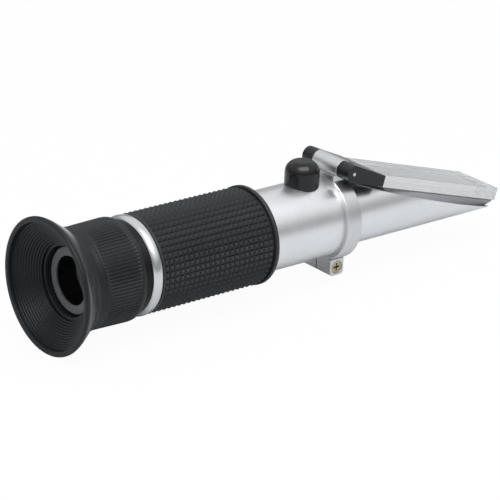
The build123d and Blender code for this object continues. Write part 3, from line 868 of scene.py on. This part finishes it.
@dataclass
class Lid:
    """Hinge yoke, pin, screws and the clear plate over the prism."""

    yoke_edge: float = 0.3
    plate_edge: float = 0.2

    def build(self) -> None:
        """Dresses the lid and the stage under it."""
        fine_copy("hinge_yoke", "lid", Finish.PLASTIC, self.yoke_edge)
        fine_copy("hinge_pin", "lid", Finish.STEEL)
        fine_copy("plate_screws", "lid", Finish.STEEL)
        fine_copy("daylight_plate", "lid", Finish.ACRYLIC, self.plate_edge)
        fine_copy("prism", "tube", Finish.GLASS)
        fine_copy("prism_bed", "tube", Finish.RESIN)


class Calibration:
    """Cap, screw and boss on the tube's top."""

    def build(self) -> None:
        """Dresses the calibration parts that show when the cap is off."""
        fine_copy("calibration_cap", "cap", Finish.CAP)
        fine_copy("calibration_boss", "tube", Finish.BRASS)
        fine_copy("calibration_screw", "calibrator", Finish.BRASS)


@dataclass(frozen=True)
class InnerWorks:
    """Pieces inside the tube, which keep their own meshes."""

    glass: tuple[str, ...] = ("field_lens", "reticle_disc", "objective_lens")
    black: tuple[str, ...] = (
        "lens_spacer",
        "lens_retainer",
        "reticle_cell",
        "reticle_retainer",
        "tube_baffle",
        "nose_baffle",
        "carriage_guide",
        "objective_cell",
        "objective_retainer",
    )
    steel: tuple[str, ...] = ("guide_key", "screw_clip", "bimetal_strip", "strip_rivets", "carriage_spring")
    brass: tuple[str, ...] = ("carriage_block",)

    def build(self) -> None:
        """Puts each finish on its nodes."""
        groups = (
            (Finish.GLASS, self.glass),
            (Finish.ANODISED, self.black),
            (Finish.STEEL, self.steel),
            (Finish.BRASS, self.brass),
        )
        for finish, names in groups:
            for name in names:
                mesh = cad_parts[name].data
                mesh.materials.clear()
                mesh.materials.append(finish.material())
                LOG.info("%s keeps its own mesh", name)


@dataclass
class Studio:
    """Pale floor, soft light and the camera. The camera's place was solved from the photograph."""

    lens_mm: float = 180.0
    sensor_mm: float = 36.0
    clip: tuple[float, float] = (0.01, 50.0)
    eye_mm: Corner = (-415.9, -597.8, 311.3)
    right: Corner = (0.7777, -0.6272, 0.0427)
    up: Corner = (0.2061, 0.3186, 0.9252)
    forward: Corner = (0.5939, 0.7107, -0.3771)
    floor_half: float = 6.0
    floor_gap: float = 0.0002
    floor_grey: float = 0.6
    floor_cast: Corner = (0.98, 1.0, 1.02)
    band: float = 0.36
    band_top: float = 0.28
    sky: float = 0.93
    sky_from: float = 0.5
    sky_cast: Corner = (0.98, 1.0, 1.015)
    camera_white: float = 0.96
    lamp_watts: float = 8.0
    lamp_size: tuple[float, float] = (0.9, 0.6)
    lamp_target: Corner = (0.09, 0.0, 0.0)
    lamp_from_target: Corner = (-0.15, -0.35, 0.8)

    def build(self) -> None:
        """Sets up floor, world, lamp and camera."""
        self.floor()
        self.world()
        self.lamp()
        self.camera()
        bpy.context.scene.view_settings.view_transform = "Standard"

    def floor(self) -> None:
        """Pale floor that turns white for the camera and keeps a soft shadow."""
        low, _ = CAD_BOX
        half, height = self.floor_half, low.z - self.floor_gap
        corners = [(x, y, height) for x, y in ((-half, -half), (half, -half), (half, half), (-half, half))]
        mesh = bpy.data.meshes.new("floor")
        mesh.from_pydata(corners, [], [(0, 1, 2, 3)])
        floor = bpy.data.objects.new("floor", mesh)
        bpy.context.scene.collection.objects.link(floor)
        bench = Bench.for_material("floor")
        colour = (*(self.floor_grey * cast for cast in self.floor_cast), 1.0)
        pale = bench.node("ShaderNodeBsdfDiffuse", {}, {"Color": colour})
        white = bench.node("ShaderNodeEmission", {}, {"Color": (*WHITE, 1.0), "Strength": 1.0})
        mixed = bench.node("ShaderNodeMixShader", {}, {0: bench.seen() * self.camera_white, 1: pale, 2: white})
        bench.node("ShaderNodeOutputMaterial", {}, {"Surface": mixed})
        mesh.materials.append(bench.owner)

    def world(self) -> None:
        """Sky that is grey near the horizon and white above; white to the camera."""
        world = bpy.data.worlds.new("studio")
        bpy.context.scene.world = world
        bench = Bench(world)
        where = bench.node("ShaderNodeTexCoord", {}, {}, "Generated")
        height = bench.node("ShaderNodeSeparateXYZ", {}, {0: where}, "Z")
        grey = (self.band, self.band, self.band, 1.0)
        top = (*(self.sky * cast for cast in self.sky_cast), 1.0)
        stops = ((0.0, grey), (self.band_top, grey), (self.sky_from, top), (1.0, top))
        sky = bench.node("ShaderNodeValToRGB", {"stops": stops}, {"Fac": height})
        colour = bench.blend_colours(bench.seen(), sky, WHITE)
        back = bench.node("ShaderNodeBackground", {}, {"Color": colour, "Strength": 1.0})
        bench.node("ShaderNodeOutputWorld", {}, {"Surface": back})

    def lamp(self) -> None:
        """One large soft lamp over the instrument."""
        data = bpy.data.lights.new("softbox", "AREA")
        data.shape = "RECTANGLE"
        data.size, data.size_y = self.lamp_size
        data.energy = self.lamp_watts
        lamp = bpy.data.objects.new("softbox", data)
        bpy.context.scene.collection.objects.link(lamp)
        target = Vector(self.lamp_target)
        lamp.location = target + Vector(self.lamp_from_target)
        lamp.rotation_mode = "QUATERNION"
        lamp.rotation_quaternion = (target - lamp.location).to_track_quat("-Z", "Y")

    def camera(self) -> None:
        """Camera at the photograph's place."""
        data = bpy.data.cameras.new("camera")
        data.sensor_width = self.sensor_mm
        data.lens = self.lens_mm
        data.clip_start, data.clip_end = self.clip
        camera = bpy.data.objects.new("camera", data)
        bpy.context.scene.collection.objects.link(camera)
        axes = Matrix((self.right, self.up, tuple(-value for value in self.forward))).transposed()
        place = axes.to_quaternion().to_matrix().to_4x4()
        place.translation = Vector(self.eye_mm) * MM
        camera.matrix_world = place
        bpy.context.scene.camera = camera


def main() -> None:
    """Builds the sub-assemblies in order."""
    logging.basicConfig(level=logging.INFO, format="%(name)s: %(message)s")
    for part in (Studio(), Eyepiece(), Grip(), Body(), Lid(), Calibration(), InnerWorks()):
        part.build()
        LOG.info("%s is built", type(part).__name__)
    bpy.context.view_layer.update()


if __name__ == "__main__":
    main()
